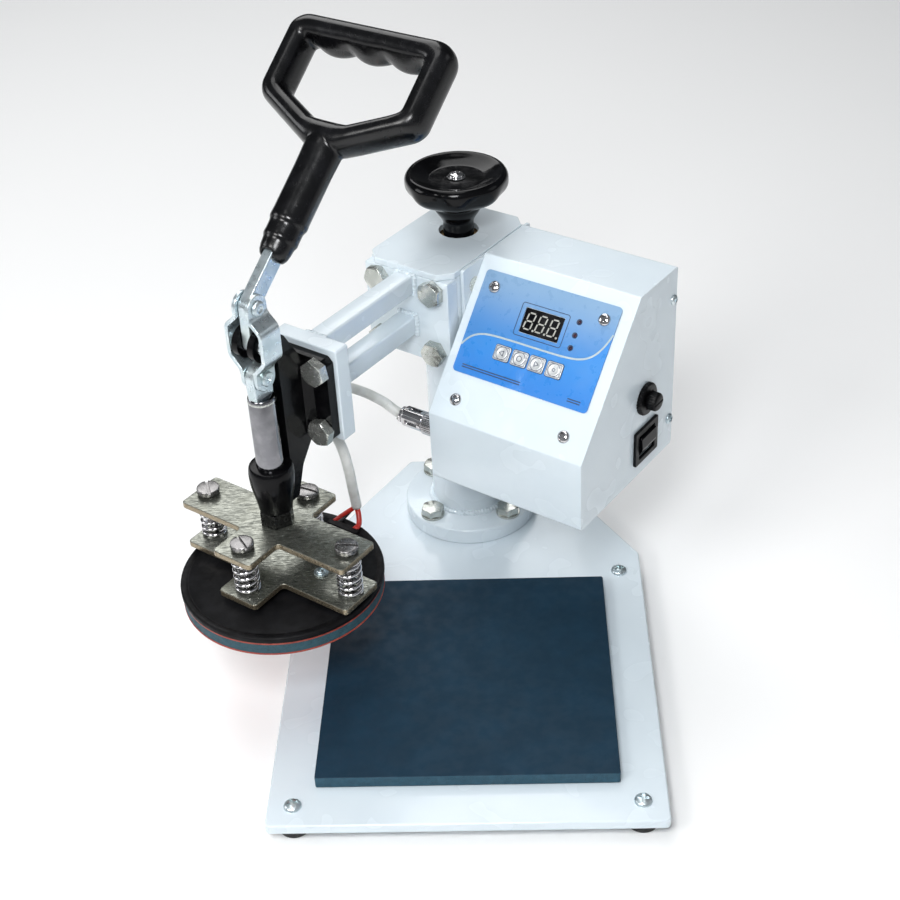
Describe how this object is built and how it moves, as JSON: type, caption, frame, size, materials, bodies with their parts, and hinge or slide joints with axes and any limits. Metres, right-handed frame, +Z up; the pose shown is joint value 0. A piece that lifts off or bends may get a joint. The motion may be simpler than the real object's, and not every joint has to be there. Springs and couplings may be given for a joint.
{
  "type": "plate heat press",
  "caption": "Swing-away heat press: a round heated platen on a toggle lever with a D-handle, its head turning on a bolted post over a padded base plate, with a control box on the head.",
  "frame": {"origin": "middle of the machine's box, on the plane that its feet stand on", "axes": "+X to the operator's right, +Y from the operator towards the post, +Z up; the head is stored swung 34 degrees to the operator's left"},
  "size_m": [0.3718, 0.431, 0.476],
  "materials": {
    "white_paint": "glossy powder coat",
    "black_casting": "gloss enamel on a casting",
    "black_plastic": "polished bakelite and nylon",
    "zinc": "blue-white zinc plate",
    "chrome": "polished chrome plate",
    "plated": "mottled bright zinc plate",
    "steel": "bright steel",
    "bronze": "turned bronze",
    "black_disc": "satin black on aluminium",
    "silicone": "matt dark teal silicone foam",
    "red_sheet": "red coated sheet over teal silicone",
    "rubber": "moulded black rubber",
    "overlay": "blue printed film, satin",
    "display": "dark window and red lamps",
    "key_silver": "silver satin key tops",
    "board": "green circuit board",
    "cable": "grey soft vinyl sheath"
  },
  "bodies": {
    "base": {"base_plate": "white_paint", "foot_front_left": "rubber", "foot_front_right": "rubber", "foot_middle_left": "rubber", "foot_middle_right": "rubber", "foot_rear_left": "rubber", "foot_rear_right": "rubber", "silicone_pad": "silicone", "post": "white_paint", "post_bolt_front_left": "steel", "post_bolt_front_right": "steel", "post_bolt_rear_left": "steel", "post_bolt_rear_right": "steel"},
    "lift": {"thrust_bearing": "bronze"},
    "knob": {"height_knob": "black_plastic", "height_screw": "steel", "knob_screw": "chrome"},
    "head": {"head_housing": "white_paint", "post_bush": "bronze", "head_top_plate": "white_paint", "press_arm": "white_paint", "arm_bolt_upper_left": "steel", "arm_bolt_upper_right": "steel", "arm_bolt_lower_left": "steel", "arm_bolt_lower_right": "steel", "clamp_body": "black_casting", "clamp_bolt_upper_left": "steel", "clamp_bolt_upper_right": "steel", "clamp_bolt_lower_left": "steel", "clamp_bolt_lower_right": "steel", "lever_pivot_pin": "zinc", "control_box_shell": "white_paint", "control_panel": "overlay", "display_module": "display", "control_board": "board", "transformer": "steel", "switch_frame": "black_plastic", "fuse_holder": "black_plastic", "cable_connector": "chrome", "heater_cable": "cable"},
    "handle": {"lever_bar": "zinc", "handle_grip": "black_plastic"},
    "link": {"link_strap_left": "zinc", "link_strap_right": "zinc", "link_pin": "zinc"},
    "plunger": {"plunger_rod": "chrome", "upper_cross_plate": "plated", "spring_right": "steel", "spring_left": "steel", "spring_rear": "steel", "spring_front": "steel"},
    "platen": {"lower_cross_plate": "plated", "heater_disc": "black_disc", "platen_silicone": "red_sheet"},
    "down_button": {"down_key": "key_silver"},
    "set_button": {"set_key": "key_silver"},
    "up_button": {"up_key": "key_silver"},
    "mode_button": {"mode_key": "key_silver"},
    "rocker": {"power_rocker": "black_plastic"},
    "fuse_cover": {"fuse_cap": "black_plastic"}
  },
  "joints": [
    {"name": "head_height", "type": "slide", "parent": "base", "child": "lift", "axis": [0, 0, 1], "range_m": [-0.006, 0.006]},
    {"name": "knob_turn", "type": "hinge", "parent": "lift", "child": "knob", "pos_m": [0.02418, 0.1485, 0.3], "axis": [0, 0, 1], "range_deg": [-1080, 1080]},
    {"name": "head_swing", "type": "hinge", "parent": "lift", "child": "head", "pos_m": [0.02418, 0.1485, 0.24], "axis": [0, 0, 1], "range_deg": [-56, 34]},
    {"name": "handle_pull", "type": "hinge", "parent": "head", "child": "handle", "pos_m": [-0.1093, -0.04939, 0.309], "axis": [0.829, -0.5592, 0], "range_deg": [0, 180]},
    {"name": "link_pivot", "type": "hinge", "parent": "handle", "child": "link", "pos_m": [-0.1093, -0.04939, 0.337], "axis": [0.829, -0.5592, 0], "range_deg": [-180, 0]},
    {"name": "plunger_slide", "type": "slide", "parent": "head", "child": "plunger", "axis": [0, 0, -1], "range_m": [0, 0.056]},
    {"name": "platen_float", "type": "slide", "parent": "plunger", "child": "platen", "axis": [0, 0, 1], "range_m": [0, 0.008], "stiffness_N_per_m": 8000, "springref_m": -0.004, "deforming": ["spring_right", "spring_left", "spring_rear", "spring_front"]},
    {"name": "down_press", "type": "slide", "parent": "head", "child": "down_button", "axis": [0.4289, 0.6358, -0.6417], "range_m": [0, 0.0008], "stiffness_N_per_m": 500, "springref_m": -0.0006},
    {"name": "set_press", "type": "slide", "parent": "head", "child": "set_button", "axis": [0.4289, 0.6358, -0.6417], "range_m": [0, 0.0008], "stiffness_N_per_m": 500, "springref_m": -0.0006},
    {"name": "up_press", "type": "slide", "parent": "head", "child": "up_button", "axis": [0.4289, 0.6358, -0.6417], "range_m": [0, 0.0008], "stiffness_N_per_m": 500, "springref_m": -0.0006},
    {"name": "mode_press", "type": "slide", "parent": "head", "child": "mode_button", "axis": [0.4289, 0.6358, -0.6417], "range_m": [0, 0.0008], "stiffness_N_per_m": 500, "springref_m": -0.0006},
    {"name": "power_rock", "type": "hinge", "parent": "head", "child": "rocker", "pos_m": [0.16033, 0.04098, 0.159], "axis": [-0.5592, -0.829, 0], "range_deg": [0, 20]},
    {"name": "fuse_twist", "type": "hinge", "parent": "head", "child": "fuse_cover", "pos_m": [0.16185, 0.03875, 0.198], "axis": [0.829, -0.5592, 0], "range_deg": [0, 90]}
  ],
  "couplings": [
    {"joint": "knob_turn", "follows": "head_height", "rad_per_m": 3141.6},
    {"joint": "link_pivot", "follows": "handle_pull", "ratio": -1},
    {"joint": "plunger_slide", "follows": "handle_pull", "m_per_rad": 0.017825}
  ]
}
